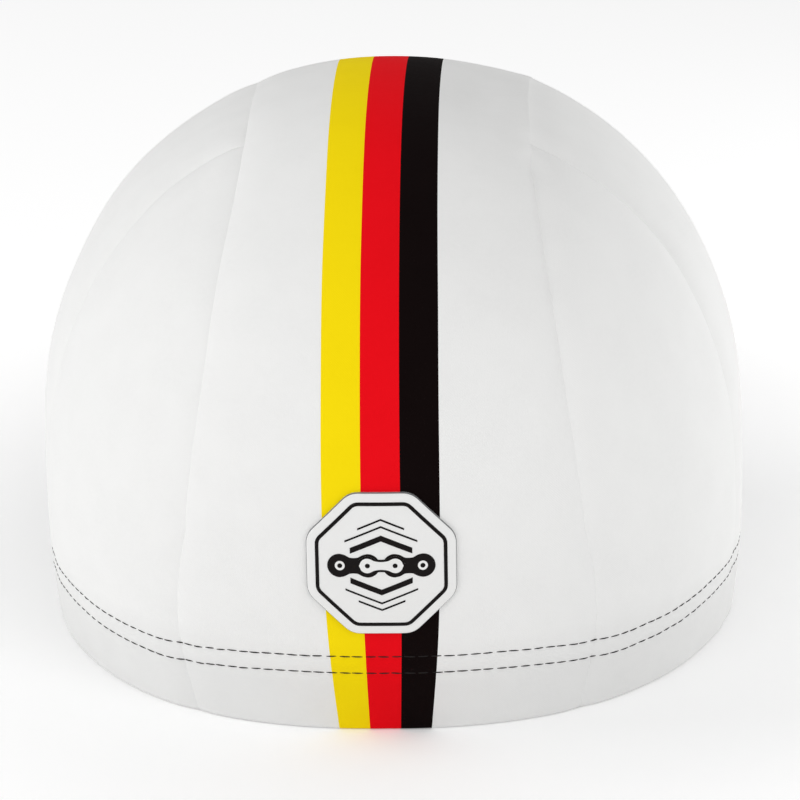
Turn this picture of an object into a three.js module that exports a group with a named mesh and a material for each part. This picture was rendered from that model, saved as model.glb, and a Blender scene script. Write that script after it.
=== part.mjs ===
// Cotton cycling cap: a five-panel crown, a head band inside its hem, a short peak and a rear badge.
// Millimetres, +Z up. The cap stands on its hem, the peak points along -Y, the badge along +Y.

import * as THREE from 'three';

// Crown form: a superellipsoid dome over a wall that draws in to the hem
const halfWidth = 88;
const rearReach = 96.5;
const frontReach = 107;
const crownHeight = 138;
const bulgeHeight = 47.5; // the widest outline's height above the hem
const roundness = 2.14; // exponent of the superellipses, where 2 is an ellipse

// Cloth and gaps
const clothWall = 1.2;
const seamGap = 0.3; // left open between two panels that are sewn together
const bandGap = 0.5; // between the crown's inside and the head band
const outerGap = 0.4; // between the crown's outside and what lies on it

// How the wall draws in: the hem's reach as a share of the widest outline, and how late it bends in
const hemRows = [
  { fromRear: 0, reach: 0.928, bend: 1.8 },
  { fromRear: 25, reach: 0.937, bend: 1.9 },
  { fromRear: 60, reach: 0.943, bend: 2.4 },
  { fromRear: 90, reach: 0.978, bend: 2.7 },
  { fromRear: 135, reach: 0.955, bend: 2.6 },
  { fromRear: 180, reach: 0.95, bend: 2.4 },
];

// Half width of the centre panel along its length. A station is -1 at the rear hem, 0 at the rear
// bulge, 1 on top, 2 at the front bulge and 3 at the front hem.
const centreRows = [
  { station: -1, half: 45.5 },
  { station: -0.5, half: 49.5 },
  { station: 0, half: 46.8 },
  { station: 0.33, half: 41 },
  { station: 0.7, half: 34.9 },
  { station: 1, half: 33.7 },
  { station: 1.5, half: 36 },
  { station: 2, half: 42 },
  { station: 3, half: 45 },
];
const junctionStation = 0.75; // where the side seams leave the centre seams

// Side seam: how far it runs behind its junction, from the hem (up 0) to the junction (up 1)
const sideSeamRows = [
  { up: 0, shift: -12 },
  { up: 0.35, shift: -6 },
  { up: 0.6, shift: 1 },
  { up: 0.8, shift: 2.5 },
  { up: 1, shift: 0 },
];

// Head band
const bandHeight = 21;
const bandWall = 1.2;

// Peak: a crescent bent over an arch, which also lifts the front hem
const peakHalfWidth = 70;
const peakFront = 151; // how far its free edge reaches ahead of the crown's middle
const peakWall = 2.4;
const peakArch = 8; // rise of the front hem over the middle of the peak
const peakDroop = 0.45; // share of the arch that is lost at the free edge
const peakCorner = 70.4; // half width of the superellipse of the free edge
const peakFullness = 2.1;

// Rear badge, a regular polygon with rounded corners
const badgeCentreHeight = 44;
const badgeSides = 8;
const badgeHalfWidth = 17.4; // from its centre to the middle of a side
const badgeCornerRadius = 5;
const badgeWall = 1;

// Facets
const rowsPerStation = 12; // the same on both sides of a seam, so that its gap stays even
const centreColumns = 8;
const frontSideColumns = 12;
const rearSideColumns = 8;
const bandCells = { around: 66, up: 3 };
const peakCells = { across: 26, deep: 5 };
const badgeCells = { around: 32, rings: 3 };

const whiteCotton = { color: '#ecebe8', roughness: 0.92, metalness: 0 };
const bandCotton = { color: '#e2e0da', roughness: 0.95, metalness: 0 };
const badgeTwill = { color: '#f4f4f2', roughness: 0.7, metalness: 0 };

// Smooth value between the rows of a table, by the first column given (Catmull-Rom slopes)
function readTable(rows, key, column, at) {
  let i = 0;
  while (i < rows.length - 2 && at > rows[i + 1][key]) i += 1;
  const slope = (j) => {
    const a = rows[Math.max(j - 1, 0)];
    const b = rows[Math.min(j + 1, rows.length - 1)];
    return (b[column] - a[column]) / (b[key] - a[key]);
  };
  const span = rows[i + 1][key] - rows[i][key];
  const t = THREE.MathUtils.clamp((at - rows[i][key]) / span, 0, 1);
  const rise = rows[i + 1][column] - rows[i][column];
  const start = slope(i) * span;
  const end = slope(i + 1) * span;
  return rows[i][column] + t * (start + t * (3 * rise - 2 * start - end + t * (start + end - 2 * rise)));
}

// Whether a point lies inside the crown's form, made smaller all round by inset
function isInside(x, y, z, inset) {
  const across = Math.abs(x) / (halfWidth - inset);
  const along = Math.abs(y) / ((y > 0 ? rearReach : frontReach) - inset);
  const plan = across ** roundness + along ** roundness;
  if (z >= bulgeHeight) {
    const rise = (z - bulgeHeight) / (crownHeight - bulgeHeight - inset);
    return plan + rise ** roundness < 1;
  }
  const fromRear = THREE.MathUtils.radToDeg(Math.atan2(Math.abs(x), y));
  const reach = readTable(hemRows, 'fromRear', 'reach', fromRear);
  const bend = readTable(hemRows, 'fromRear', 'bend', fromRear);
  const below = (bulgeHeight - z) / bulgeHeight;
  return plan < (1 - (1 - reach) * below ** bend) ** roundness;
}

// Point where a line from inside the crown meets its surface
function meetCrown(from, direction, inset) {
  let near = 0;
  let far = 2 * frontReach;
  const point = new THREE.Vector3();
  for (let step = 0; step < 44; step += 1) {
    const middle = (near + far) / 2;
    point.copy(direction).multiplyScalar(middle).add(from);
    if (isInside(point.x, point.y, point.z, inset)) near = middle;
    else far = middle;
  }
  return point;
}

// The front hem rises over the peak's arch, and the wall above it follows
function archAt(x) {
  const share = Math.min(Math.abs(x) / peakHalfWidth, 1);
  return peakArch * (1 - share ** 2) ** 2;
}

function liftFront(point) {
  if (point.y < 0 && point.z < bulgeHeight) point.z += archAt(point.x) * (1 - point.z / bulgeHeight);
  return point;
}

// Point of the crown at a given x and station
function crownAt(x, station, inset) {
  if (station >= 0 && station <= 2) {
    const turn = (station * Math.PI) / 2;
    const from = new THREE.Vector3(x, 0, bulgeHeight);
    return meetCrown(from, new THREE.Vector3(0, Math.cos(turn), Math.sin(turn)), inset);
  }
  const height = bulgeHeight * (station < 0 ? 1 + station : 3 - station);
  return meetCrown(new THREE.Vector3(x, 0, height), new THREE.Vector3(0, station < 0 ? 1 : -1, 0), inset);
}

// Point of the crown at a plan direction and height
function crownToward(x, y, z, inset) {
  return meetCrown(new THREE.Vector3(0, 0, z), new THREE.Vector3(x, y, 0).normalize(), inset);
}

function centreSeam(side, station, inset, gap) {
  const half = readTable(centreRows, 'station', 'half', station) + gap;
  return crownAt(side * half, station, inset);
}

function sideSeam(side, up, inset, gap) {
  const junction = centreSeam(side, junctionStation, inset, seamGap / 2);
  const y = junction.y + readTable(sideSeamRows, 'up', 'shift', up) + gap;
  return meetCrown(new THREE.Vector3(0, y, up * junction.z), new THREE.Vector3(side, 0, 0), inset);
}

// A closed wall between an outer and an inner grid of points. The grids' last column joins the first
// where the wall runs all round. Cells that shrink to nothing at a corner are left out.
function wallBetween(outerAt, innerAt, rows, columns, isLoop) {
  const positions = [];
  const faces = [];
  const known = new Map();
  const addPoint = (point) => {
    const key = point.toArray().map((value) => Math.round(value * 1e4)).join();
    if (!known.has(key)) {
      known.set(key, positions.length / 3);
      positions.push(point.x, point.y, point.z);
    }
    return known.get(key);
  };
  const readGrid = (pointAt) => {
    const grid = [];
    for (let row = 0; row <= rows; row += 1) {
      const line = [];
      for (let column = 0; column <= columns; column += 1) {
        line.push(addPoint(pointAt(row / rows, (isLoop ? column % columns : column) / columns)));
      }
      grid.push(line);
    }
    return grid;
  };
  const addFace = (a, b, c) => {
    if (a !== b && b !== c && c !== a) faces.push(a, b, c);
  };
  const addCell = (a, b, c, d) => {
    addFace(a, b, c);
    addFace(a, c, d);
  };
  const outer = readGrid(outerAt);
  const inner = readGrid(innerAt);
  for (let row = 0; row < rows; row += 1) {
    for (let column = 0; column < columns; column += 1) {
      addCell(outer[row][column], outer[row][column + 1], outer[row + 1][column + 1], outer[row + 1][column]);
      addCell(inner[row][column], inner[row + 1][column], inner[row + 1][column + 1], inner[row][column + 1]);
    }
    if (!isLoop) {
      addCell(outer[row][0], outer[row + 1][0], inner[row + 1][0], inner[row][0]);
      addCell(outer[row + 1][columns], outer[row][columns], inner[row][columns], inner[row + 1][columns]);
    }
  }
  for (let column = 0; column < columns; column += 1) {
    addCell(outer[0][column + 1], outer[0][column], inner[0][column], inner[0][column + 1]);
    addCell(outer[rows][column], outer[rows][column + 1], inner[rows][column + 1], inner[rows][column]);
  }
  const geometry = new THREE.BufferGeometry();
  geometry.setAttribute('position', new THREE.Float32BufferAttribute(positions, 3));
  geometry.setIndex(faces);
  return turnOutward(geometry);
}

// Reverses a closed geometry whose faces point inward
function turnOutward(geometry) {
  const position = geometry.getAttribute('position');
  const index = geometry.getIndex();
  const corners = [new THREE.Vector3(), new THREE.Vector3(), new THREE.Vector3()];
  let volume = 0;
  for (let i = 0; i < index.count; i += 3) {
    corners.forEach((corner, j) => corner.fromBufferAttribute(position, index.getX(i + j)));
    volume += corners[0].dot(corners[1].clone().cross(corners[2]));
  }
  if (volume < 0) geometry.setIndex(Array.from(index.array).reverse());
  geometry.computeVertexNormals();
  return geometry;
}

function addPiece(group, name, geometry, finish) {
  const piece = new THREE.Mesh(geometry, new THREE.MeshStandardMaterial(finish));
  piece.name = name;
  group.add(piece);
}

function centrePanelGeometry() {
  const pointAt = (inset) => (row, column) => {
    const station = -1 + 4 * row;
    const half = readTable(centreRows, 'station', 'half', station) - seamGap / 2;
    return liftFront(crownAt(half * (2 * column - 1), station, inset));
  };
  return wallBetween(pointAt(0), pointAt(clothWall), 4 * rowsPerStation, centreColumns, false);
}

// A side panel's rows run from the side seam to the centre seam, and shrink to the junction on top
function sidePanelGeometry(side, hemStation, columns) {
  const toFront = hemStation > junctionStation;
  const pointAt = (inset) => (row, column) => {
    const station = hemStation + (junctionStation - hemStation) * row;
    const start = sideSeam(side, row, inset, toFront ? -seamGap / 2 : seamGap / 2);
    const end = centreSeam(side, station, inset, seamGap / 2);
    if (row === 1) return start;
    if (column === 0) return liftFront(start);
    if (column === 1) return liftFront(end);
    const between = start.lerp(end, column);
    return liftFront(crownToward(between.x, between.y, between.z, inset));
  };
  const rows = Math.round(Math.abs(hemStation - junctionStation) * rowsPerStation);
  return wallBetween(pointAt(0), pointAt(clothWall), rows, columns, false);
}

function headBandGeometry() {
  const pointAt = (inset) => (row, column) => {
    const turn = 2 * Math.PI * column;
    return liftFront(crownToward(Math.cos(turn), Math.sin(turn), bandHeight * row, inset));
  };
  const outside = clothWall + bandGap;
  return wallBetween(pointAt(outside), pointAt(outside + bandWall), bandCells.up, bandCells.around, true);
}

// The peak's cloth lies against the crown's wall and runs forward to its free edge
function peakGeometry() {
  const forward = new THREE.Vector3(0, -1, 0);
  const rootAt = (x, height) => meetCrown(new THREE.Vector3(x, 0, height), forward, -outerGap);
  const endY = rootAt(peakHalfWidth, 0).y;
  const pointAt = (height) => (row, column) => {
    const x = peakHalfWidth * Math.sin((column - 0.5) * Math.PI);
    const root = liftFront(rootAt(x, height));
    const fullness = Math.sqrt(1 - (Math.abs(x) / peakCorner) ** peakFullness);
    const freeY = endY - (peakFront + endY) * fullness;
    const y = THREE.MathUtils.lerp(root.y, freeY, row);
    return new THREE.Vector3(x, y, root.z - archAt(x) * peakDroop * row);
  };
  return wallBetween(pointAt(peakWall), pointAt(0), peakCells.deep, peakCells.across, false);
}

// Reach of the badge's outline: a polygon standing on a side, its corners rounded
function badgeReach(turn) {
  const sector = (2 * Math.PI) / badgeSides;
  const fromCorner = Math.abs(THREE.MathUtils.euclideanModulo(turn - Math.PI / 2, sector) - sector / 2);
  const fromMiddle = sector / 2 - fromCorner;
  const arcCentre = (badgeHalfWidth - badgeCornerRadius) / Math.cos(sector / 2);
  const straightEnds = Math.atan((arcCentre * Math.sin(sector / 2)) / badgeHalfWidth);
  if (fromMiddle <= straightEnds) return badgeHalfWidth / Math.cos(fromMiddle);
  const offset = arcCentre * Math.sin(fromCorner);
  return arcCentre * Math.cos(fromCorner) + Math.sqrt(badgeCornerRadius ** 2 - offset ** 2);
}

function badgeGeometry() {
  const outward = new THREE.Vector3(0, 1, 0);
  const pointAt = (inset) => (row, column) => {
    const turn = 2 * Math.PI * column;
    const radius = badgeReach(turn) * row;
    const from = new THREE.Vector3(radius * Math.cos(turn), 0, badgeCentreHeight + radius * Math.sin(turn));
    return meetCrown(from, outward, inset);
  };
  const back = -outerGap;
  return wallBetween(pointAt(back - badgeWall), pointAt(back), badgeCells.rings, badgeCells.around, true);
}

const cap = new THREE.Group();
addPiece(cap, 'centre_panel', centrePanelGeometry(), whiteCotton);
for (const { word, side } of [{ word: 'left', side: 1 }, { word: 'right', side: -1 }]) {
  addPiece(cap, `rear_side_panel_${word}`, sidePanelGeometry(side, -1, rearSideColumns), whiteCotton);
  addPiece(cap, `front_side_panel_${word}`, sidePanelGeometry(side, 3, frontSideColumns), whiteCotton);
}
addPiece(cap, 'head_band', headBandGeometry(), bandCotton);
addPiece(cap, 'peak', peakGeometry(), whiteCotton);
addPiece(cap, 'rear_badge', badgeGeometry(), badgeTwill);

// The origin lies on the floor under the middle of the cap's length
cap.position.y = (peakFront - rearReach - outerGap - badgeWall) / 2;

export default cap;
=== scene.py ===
import math

import bpy
import bmesh
import numpy as np
from mathutils import Matrix, Vector
from mathutils.bvhtree import BVHTree
from mathutils.kdtree import KDTree


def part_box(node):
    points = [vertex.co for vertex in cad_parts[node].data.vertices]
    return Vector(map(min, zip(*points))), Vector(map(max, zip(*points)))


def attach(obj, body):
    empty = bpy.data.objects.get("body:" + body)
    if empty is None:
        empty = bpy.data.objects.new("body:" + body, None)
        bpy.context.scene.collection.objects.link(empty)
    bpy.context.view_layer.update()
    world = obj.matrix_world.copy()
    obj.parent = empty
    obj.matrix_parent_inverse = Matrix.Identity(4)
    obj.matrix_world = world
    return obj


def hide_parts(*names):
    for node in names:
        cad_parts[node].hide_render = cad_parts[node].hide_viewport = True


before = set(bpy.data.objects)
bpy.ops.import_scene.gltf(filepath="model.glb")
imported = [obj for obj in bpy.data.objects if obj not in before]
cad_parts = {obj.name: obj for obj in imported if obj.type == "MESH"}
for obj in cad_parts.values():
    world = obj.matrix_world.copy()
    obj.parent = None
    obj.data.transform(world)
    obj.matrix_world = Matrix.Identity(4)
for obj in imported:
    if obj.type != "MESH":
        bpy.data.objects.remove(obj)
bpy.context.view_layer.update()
mm = 0.001
randomSeed = 7
print("frame loaded:", len(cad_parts), "nodes")

# The crown's form in mm: a superellipsoid dome over a wall that draws in to the hem
crown = {
    "halfWidth": 88.0,
    "rearReach": 96.5,
    "frontReach": 107.0,
    "height": 138.0,
    "bulge": 47.5,
    "roundness": 2.14,
    "cloth": 0.6,  # thickness of one layer of the cotton
    "lip": 0.9,  # radius of the turned edge at the hem
    "lipInside": 0.5,  # share of that rounding on the inner side
    "foldTop": 12.5,  # the hem is double cloth below this
    "foldEdge": 0.33,
    "bandTop": 24.0,
    "bandRoom": 1.5,  # how thick the wall may be where the head band lies against it
    "room": 9.0,
    "mmPerDegree": 1.6,  # length over the dome for each degree of turn
    "halvings": 40,  # of the interval in which a line meets the crown
}
crown["middle"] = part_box("centre_panel")[1].y / mm - crown["rearReach"]

hemPlan = {
    "fromRear": (0, 25, 60, 90, 135, 180),  # degrees from the middle of the rear
    "reach": (0.928, 0.937, 0.943, 0.978, 0.955, 0.95),
    "bend": (1.8, 1.9, 2.4, 2.7, 2.6, 2.4),
}

# Stations run along the middle: -1 rear hem, 0 rear bulge, 1 top, 2 front bulge, 3 front hem
centrePath = {
    "station": (-1, -0.5, 0, 0.33, 0.7, 1, 1.5, 2, 3),
    "half": (45.5, 49.5, 46.8, 41, 34.9, 33.7, 36, 42, 45),
    "stripe": (10.9, 12.8, 13.6, 13.5, 13.1, 13.1, 13.3, 13.5, 13.0),
}
rightSeamShift = 0.8  # the right centre seam is sewn a little further out than the left one
# The side seams run from the hem up to their junctions with the centre seams.
# Left and right are shifts toward the rear, in mm.
junctionStation = 0.77
sidePath = {
    "up": (0, 0.35, 0.54, 0.64, 0.72, 0.79, 0.86, 0.92, 1),
    "left": (-9.5, -3.5, 2.4, 4.0, 4.2, 3.2, 1.9, 0.3, 0),
    "right": (-9.5, -5.2, -2.1, -0.1, 0.6, 0.3, -0.1, -0.2, 0),
}

peak = {
    "halfWidth": 70.0,
    "front": 151.0,
    "wall": 2.4,
    "arch": 8.0,
    "droop": 0.45,
    "corner": 70.4,
    "fullness": 2.1,
    "gap": 0.4,
}


def readTable(table, key, column, at):
    # smooth values between the entries of a table
    keys, values = np.array(table[key], float), np.array(table[column], float)
    places = np.arange(len(keys))
    before, after = np.maximum(places - 1, 0), np.minimum(places + 1, len(keys) - 1)
    slopes = (values[after] - values[before]) / (keys[after] - keys[before])
    at = np.asarray(at, float)
    i = np.clip(np.searchsorted(keys, at, side="right") - 1, 0, len(keys) - 2)
    span = keys[i + 1] - keys[i]
    t = np.clip((at - keys[i]) / span, 0, 1)
    rise = values[i + 1] - values[i]
    start, end = slopes[i] * span, slopes[i + 1] * span
    return values[i] + t * (start + t * (3 * rise - 2 * start - end + t * (start + end - 2 * rise)))


def isInside(points, inset):
    # whether points lie within the crown's surface, moved in by inset
    x, y, z = points[..., 0], points[..., 1], points[..., 2]
    power = crown["roundness"]
    across = np.abs(x) / (crown["halfWidth"] - inset)
    along = np.abs(y) / (np.where(y > 0, crown["rearReach"], crown["frontReach"]) - inset)
    plan = across**power + along**power
    rise = np.maximum(z - crown["bulge"], 0) / (crown["height"] - crown["bulge"] - inset)
    fromRear = np.degrees(np.arctan2(np.abs(x), y))
    reach = readTable(hemPlan, "fromRear", "reach", fromRear)
    bend = readTable(hemPlan, "fromRear", "bend", fromRear)
    below = np.clip((crown["bulge"] - z) / crown["bulge"], 0, 1)
    wall = (1 - (1 - reach) * below**bend) ** power
    return np.where(z >= crown["bulge"], plan + rise**power < 1, plan < wall)


def meetCrown(origin, direction, inset=0.0):
    # points where lines from inside meet the crown's surface, moved in by inset
    origin, direction, inset = np.broadcast_arrays(origin, direction, np.asarray(inset, float)[..., None])
    inset = inset[..., 0]
    near = np.zeros(inset.shape)
    far = np.full(inset.shape, 2 * crown["frontReach"])
    for _ in range(crown["halvings"]):
        middle = (near + far) / 2
        inside = isInside(origin + direction * middle[..., None], inset)
        near = np.where(inside, middle, near)
        far = np.where(inside, far, middle)
    return origin + direction * near[..., None]


def archAt(x):
    # rise of the front hem over the peak
    share = np.minimum(np.abs(x) / peak["halfWidth"], 1)
    return peak["arch"] * (1 - share**2) ** 2


def settle(points):
    # lifts the front hem over the peak's arch and moves the crown to its place in the frame
    placed = points.copy()
    low = (points[..., 1] < 0) & (points[..., 2] < crown["bulge"])
    rise = archAt(points[..., 0]) * (1 - points[..., 2] / crown["bulge"])
    placed[..., 2] += np.where(low, rise, 0)
    placed[..., 1] += crown["middle"]
    return placed


def crownAt(x, station):
    # point of the crown at a given x and station
    x, station = np.broadcast_arrays(x, station)
    turn = np.clip(station, 0, 2) * math.pi / 2
    onWall = (station < 0) | (station > 2)
    below = np.where(station < 0, 1 + station, 3 - station)
    height = np.where(onWall, crown["bulge"] * below, crown["bulge"])
    origin = np.stack([x, np.zeros_like(x), height], -1)
    return meetCrown(origin, np.stack([np.zeros_like(x), np.cos(turn), np.sin(turn)], -1))


def crownToward(points, inset=0.0):
    # point of the crown at the same height and in the same plan direction
    origin = points * np.array([0, 0, 1.0])
    direction = points * np.array([1.0, 1.0, 0])
    direction = direction / np.linalg.norm(direction, axis=-1, keepdims=True)
    return meetCrown(origin, direction, inset)


def crownNormal(points):
    # outward direction of the plain crown. On the wall it stays level, so that the hem stays flat.
    x, y, z = points[..., 0], points[..., 1], points[..., 2]
    power = crown["roundness"] - 1
    reach = np.where(y > 0, crown["rearReach"], crown["frontReach"])
    across = np.sign(x) * np.abs(x / crown["halfWidth"]) ** power / crown["halfWidth"]
    along = np.sign(y) * np.abs(y / reach) ** power / reach
    tall = crown["height"] - crown["bulge"]
    rise = (np.maximum(z - crown["bulge"], 0) / tall) ** power / tall
    way = np.stack([across, along, rise], -1)
    return way / np.linalg.norm(way, axis=-1, keepdims=True)


def seamHalf(side, station):
    # distance of a centre seam from the middle
    return readTable(centrePath, "station", "half", station) + (rightSeamShift if side < 0 else 0)


def centreSeam(side, station):
    return crownAt(side * seamHalf(side, station), station)


def sideSeam(side, up):
    # up is the share of the height from the hem to the junction
    junction = centreSeam(side, np.full(up.shape, junctionStation))
    y = junction[..., 1] + readTable(sidePath, "up", "left" if side > 0 else "right", up)
    origin = np.stack([np.zeros_like(y), y, up * junction[..., 2]], -1)
    return meetCrown(origin, np.array([float(side), 0, 0]))


# Small reliefs of the cloth, in mm outward
hem = {
    "rows": (14.2, 18.65),  # heights of the two stitch rows, before their rise
    "rowDip": 0.16,
    "rowWidth": 0.8,
    "swell": 0.12,  # the cloth between and below the rows
    "swellWidth": 1.2,
    "lowSwell": 7.0,
    "lowSwellWidth": 5.0,
    "radius": 90.0,  # turns an angle round the hem into a length
    "pucker": 0.035,
    "puckerPitch": 6.2,
    "puckerSpread": 0.3,
    "puckerReach": 4.5,
    "gather": 0.08,
    "gatherPitch": 9.0,
    "gatherSpread": 0.5,
    "gatherTop": 26.0,
    "gatherSpan": 60.0,  # degrees either side of the rear that the elastic gathers
}
# The stitch rows are sewn by eye: they run low where the hem turns to the sides
rowPath = {
    "fromRear": (0, 14, 20, 26, 33, 42, 51, 58, 66, 100, 180),
    "rise": (0.9, 0.8, 0.4, -0.2, -1.15, -0.85, -0.2, 0.5, 0.9, 0.9, 0),
}
seam = {
    "centreSamples": 1400,
    "sideSamples": 600,
    "depth": 0.65,
    "topDepth": 1.15,  # deeper where the panels turn over the top
    "topFrom": 60.0,
    "topTo": 110.0,
    "softFrom": 0.8,  # station from which the centre seams flatten toward the top
    "softOver": 0.15,
    "softLoss": 0.65,
    "leftSide": 0.7,  # the left side seam is pressed flatter
    "rightGain": 0.35,  # the right seams are pressed less flat, but for the hem
    "gainFrom": 0.5,  # of the height of hemFlat
    "width": 2.8,
    "hemFlat": 40.0,  # below this the hem's fold holds the side seam flat
    "hemShare": 0.3,
    "shoulder": 0.1,  # rise of the cloth over the pressed allowance
    "shoulderFrom": 7.0,
    "shoulderWidth": 4.0,
    "pucker": 0.1,
    "puckerPitch": 13.0,
    "sidePuckerPitch": 9.2857,
    "puckerReach": 5.0,
    "allowance": 0.5,  # thickness of the allowance that shows inside
    "allowanceWidth": 6.5,
    "allowanceEdge": 0.5,
}
# Over the top the right centre seam stands up as a crest: sharp on its right, soft on its left
ridge = {
    "start": 0.68,  # stations between which it stands
    "end": 1.6,
    "fade": 0.1,
    "fall": 0.3,
    "rise": 0.45,
    "softWidth": 4.0,
    "sharpWidth": 2.2,
}
# Slow rises and falls of worn cloth, even under the badge and weaker at the hem
drape = {
    "rise": 0.3,
    "pitchX": 13.0,
    "pitchZ": 19.0,
    "slantRise": 0.25,
    "slantX": 40.0,
    "slantY": 15.0,
    "slantZ": 12.0,
    "badgeAt": 44.0,
    "badgeHalf": 22.0,
    "badgeTall": 24.0,
    "hemTop": 20.0,
    "hemShare": 0.3,
}
# Each run of waves draws from its own seed
waveSeeds = {
    "drape": 1,
    "slant": 2,
    "rows": 3,
    "gather": 4,
    "leftSeam": 11,
    "rightSeam": 12,
    "sideSeams": 13,
    "bandTape": 21,
    "peakEdge": 31,
}
# Dents of handling: places and radii from the crown's middle
dents = [
    {"at": (-22, 6, 135), "radius": (8, 24, 14), "depth": 1.5},
    {"at": (-60, 62, 70), "radius": (9, 14, 45), "depth": 0.45},
    {"at": (40, 50, 115), "radius": (22, 22, 22), "depth": 0.3},
]


def waves(phase, kind, count=4, spread=0.6):
    # a few sines of unlike pitch, which together look unplanned
    draw = np.random.default_rng(randomSeed + waveSeeds[kind])
    total = np.zeros(np.shape(phase))
    for _ in range(count):
        pitch = 1 + spread * (draw.random() - 0.5) * 2
        total = total + np.sin(phase * pitch + draw.random() * 2 * math.pi)
    return total / count


def allAround(count):
    # angles all round, without the last
    return np.arange(count) * 2 * math.pi / count


def crowdEnds(count):
    # places from -1 to 1, closer together at both ends
    return np.sin(np.linspace(-1, 1, count) * math.pi / 2)


def runOver(points):
    # length over the crown from the rear hem, nearly
    y, z = points[..., 1], points[..., 2]
    dome = np.degrees(np.arctan2(np.maximum(z - crown["bulge"], 0), y)) * crown["mmPerDegree"]
    below = np.maximum(crown["bulge"] - z, 0)
    return dome + np.where(y > 0, -below, below)


def softRelief(points):
    # slow rises and falls, dents, and the flat place under the badge
    x, y, z = points[..., 0], points[..., 1], points[..., 2]
    slant = y / drape["slantY"] - z / drape["slantZ"] + x / drape["slantX"]
    relief = drape["rise"] * waves(x / drape["pitchX"] + z / drape["pitchZ"], "drape")
    relief = relief + drape["slantRise"] * waves(slant, "slant")
    for dent in dents:
        away = ((points - np.array(dent["at"])) / np.array(dent["radius"])) ** 2
        relief = relief - dent["depth"] * np.exp(-away.sum(-1))
    awayX, awayZ = x / drape["badgeHalf"], (z - drape["badgeAt"]) / drape["badgeTall"]
    underBadge = np.exp(-(awayX**4) - awayZ**4) * (y > 0)
    return relief * (1 - underBadge) * np.clip(z / drape["hemTop"], drape["hemShare"], 1)


def rowRise(points):
    # how far the stitch rows stray from level
    fromRear = np.degrees(np.arctan2(np.abs(points[..., 0]), points[..., 1]))
    return readTable(rowPath, "fromRear", "rise", fromRear)


def hemRelief(points):
    # dips under the stitch rows, puckers between them and gathers at the rear
    x, y, z = points[..., 0], points[..., 1], points[..., 2]
    turn = np.arctan2(x, y)
    relief = np.zeros_like(z)
    level = z - rowRise(points)
    for height in hem["rows"]:
        relief = relief - hem["rowDip"] * np.exp(-(((level - height) / hem["rowWidth"]) ** 2))
    middle = sum(hem["rows"]) / 2
    relief = relief + hem["swell"] * np.exp(-(((level - middle) / hem["swellWidth"]) ** 2))
    relief = relief + hem["swell"] * np.exp(-(((z - hem["lowSwell"]) / hem["lowSwellWidth"]) ** 2))
    phase = turn * hem["radius"] * 2 * math.pi
    nearRows = np.exp(-(((z - middle) / hem["puckerReach"]) ** 2))
    puckers = waves(phase / hem["puckerPitch"], "rows", 3, hem["puckerSpread"])
    relief = relief + hem["pucker"] * nearRows * puckers
    atRear = np.clip(1 - np.degrees(np.abs(turn)) / hem["gatherSpan"], 0, 1) ** 0.5
    fade = np.clip(1 - z / hem["gatherTop"], 0, 1)
    gathers = waves(phase / hem["gatherPitch"], "gather", 4, hem["gatherSpread"])
    return relief + hem["gather"] * atRear * fade * gathers


def smoothStep(share):
    share = np.clip(share, 0, 1)
    return share**2 * (3 - 2 * share)


def searchLine(points):
    # a line of points with its search tree
    tree = KDTree(len(points))
    for i, point in enumerate(points):
        tree.insert(point, i)
    tree.balance()
    return {"points": points, "tree": tree}


def makeSeamLines():
    # dense lines along the seams of each side, at the plain crown
    lines = {}
    for side in (1, -1):
        lines[side, "centre"] = searchLine(centreSeam(side, np.linspace(-1, 3, seam["centreSamples"])))
        lines[side, "side"] = searchLine(sideSeam(side, np.linspace(0, 1, seam["sideSamples"])))
    return lines


def distanceTo(line, points):
    # distance of each point to a line, by its nearest samples
    flat = points.reshape(-1, 3)
    nearest = np.array([line["tree"].find(point)[1] for point in flat])
    best = np.full(len(flat), np.inf)
    for step in (-1, 0):
        i = np.clip(nearest + step, 0, len(line["points"]) - 2)
        a, b = line["points"][i], line["points"][i + 1]
        share = ((flat - a) * (b - a)).sum(-1) / ((b - a) ** 2).sum(-1)
        foot = a + np.clip(share, 0, 1)[:, None] * (b - a)
        best = np.minimum(best, np.linalg.norm(flat - foot, axis=-1))
    return best.reshape(points.shape[:-1])


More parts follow.
